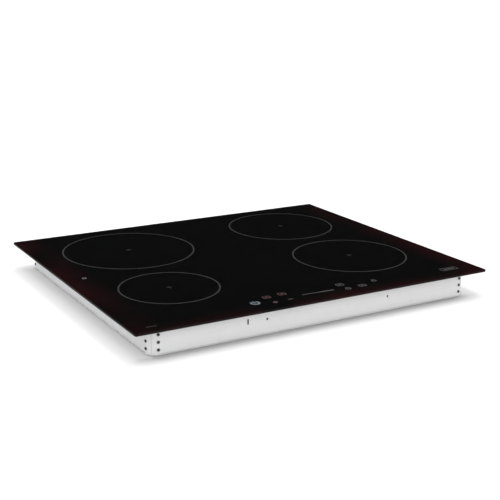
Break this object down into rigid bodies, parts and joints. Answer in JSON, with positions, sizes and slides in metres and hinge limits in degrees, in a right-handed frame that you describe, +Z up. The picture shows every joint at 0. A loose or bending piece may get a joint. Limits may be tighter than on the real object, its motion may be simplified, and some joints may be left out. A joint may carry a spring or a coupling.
{
  "type": "electric induction cooktop",
  "caption": "Built-in induction cooktop: flat black glass-ceramic plate with ringed cooking zones and touch controls over a shallow steel casing with fans and a mains terminal.",
  "frame": {"origin": "bottom centre of the casing, on the underside of the base panel", "axes": "+X to the user's right, +Y to the back, +Z up; the touch controls are at -Y"},
  "size_m": [0.595, 0.503, 0.042],
  "materials": {
    "glass_ceramic": "polished near-black glass-ceramic with fine printed lines",
    "foam_seal": "closed-cell foam tape",
    "silicone": "cured black silicone",
    "casing_steel": "matt galvanised steel sheet",
    "dark_screw": "blackened screw heads",
    "zinc_screw": "bright zinc plated steel",
    "aluminium_sheet": "mill-finish sheet",
    "aluminium_extrusion": "plain extrusion",
    "mica": "pressed mica sheet",
    "sensor_silicone": "white silicone",
    "lead_insulation": "glass-fibre sleeved wire",
    "circuit_board": "green solder resist over glass laminate",
    "ferrite": "sintered ferrite",
    "black_plastic": "moulded, lightly grained",
    "display_black": "smoked display face",
    "spring_steel": "bright spring steel",
    "grey_plastic": "moulded light grey",
    "shaft_steel": "ground steel",
    "white_plastic": "natural polyamide",
    "brass_screw": "turned brass",
    "gland_black": "moulded polyamide",
    "carrier_plastic": "glass-filled moulding",
    "litz_copper": "enamelled copper litz",
    "component_black": "moulded epoxy",
    "capacitor_case": "moulded case",
    "bronze": "sintered bronze",
    "stator_steel": "laminated steel and copper"
  },
  "bodies": {
    "casing": {"adhesive_bead": "silicone", "base_panel": "casing_steel", "base_screws": "zinc_screw", "board_screws": "zinc_screw", "board_spacers": "zinc_screw", "cable_gland": "gland_black", "coil_carrier_front_left": "carrier_plastic", "coil_carrier_front_right": "carrier_plastic", "coil_carrier_rear_left": "carrier_plastic", "coil_carrier_rear_right": "carrier_plastic", "coil_leads": "lead_insulation", "coil_plate_left": "aluminium_sheet", "coil_plate_right": "aluminium_sheet", "coil_winding_front_left": "litz_copper", "coil_winding_front_right": "litz_copper", "coil_winding_rear_left": "litz_copper", "coil_winding_rear_right": "litz_copper", "corner_piece_front_left": "casing_steel", "corner_piece_front_right": "casing_steel", "corner_piece_rear_left": "casing_steel", "corner_piece_rear_right": "casing_steel", "corner_screws": "dark_screw", "cover_hinge_pin": "shaft_steel", "display_modules": "display_black", "fan_bearing_left": "bronze", "fan_bearing_right": "bronze", "fan_housing_left": "black_plastic", "fan_housing_right": "black_plastic", "fan_stator_left": "stator_steel", "fan_stator_right": "stator_steel", "ferrite_bars": "ferrite", "film_capacitors_left": "capacitor_case", "film_capacitors_right": "capacitor_case", "filter_board": "circuit_board", "filter_choke": "ferrite", "glass_panel": "glass_ceramic", "heat_sink_left": "aluminium_extrusion", "heat_sink_right": "aluminium_extrusion", "mica_sheets": "mica", "power_board_left": "circuit_board", "power_board_right": "circuit_board", "power_transistors_left": "component_black", "power_transistors_right": "component_black", "sealing_gasket": "foam_seal", "temperature_sensors": "sensor_silicone", "terminal_block": "white_plastic", "terminal_box": "grey_plastic", "terminal_screws": "brass_screw", "touch_board": "circuit_board", "touch_bracket": "black_plastic", "touch_springs": "spring_steel", "wall_front": "casing_steel", "wall_left": "casing_steel", "wall_rear": "casing_steel", "wall_right": "casing_steel"},
    "rotor_left": {"impeller_left": "black_plastic", "fan_shaft_left": "shaft_steel"},
    "rotor_right": {"impeller_right": "black_plastic", "fan_shaft_right": "shaft_steel"},
    "terminal_cover": {"terminal_cover": "grey_plastic"}
  },
  "joints": [
    {"name": "fan_left_spin", "type": "hinge", "parent": "casing", "child": "rotor_left", "pos_m": [0.011, -0.01, 0.01], "axis": [0, 0, 1], "continuous": true},
    {"name": "fan_right_spin", "type": "hinge", "parent": "casing", "child": "rotor_right", "pos_m": [0.011, -0.118, 0.01], "axis": [0, 0, 1], "continuous": true},
    {"name": "terminal_cover_hinge", "type": "hinge", "parent": "casing", "child": "terminal_cover", "pos_m": [0.011, 0.1715, 0.0021], "axis": [-1, 0, 0], "range_deg": [0, 100]}
  ]
}
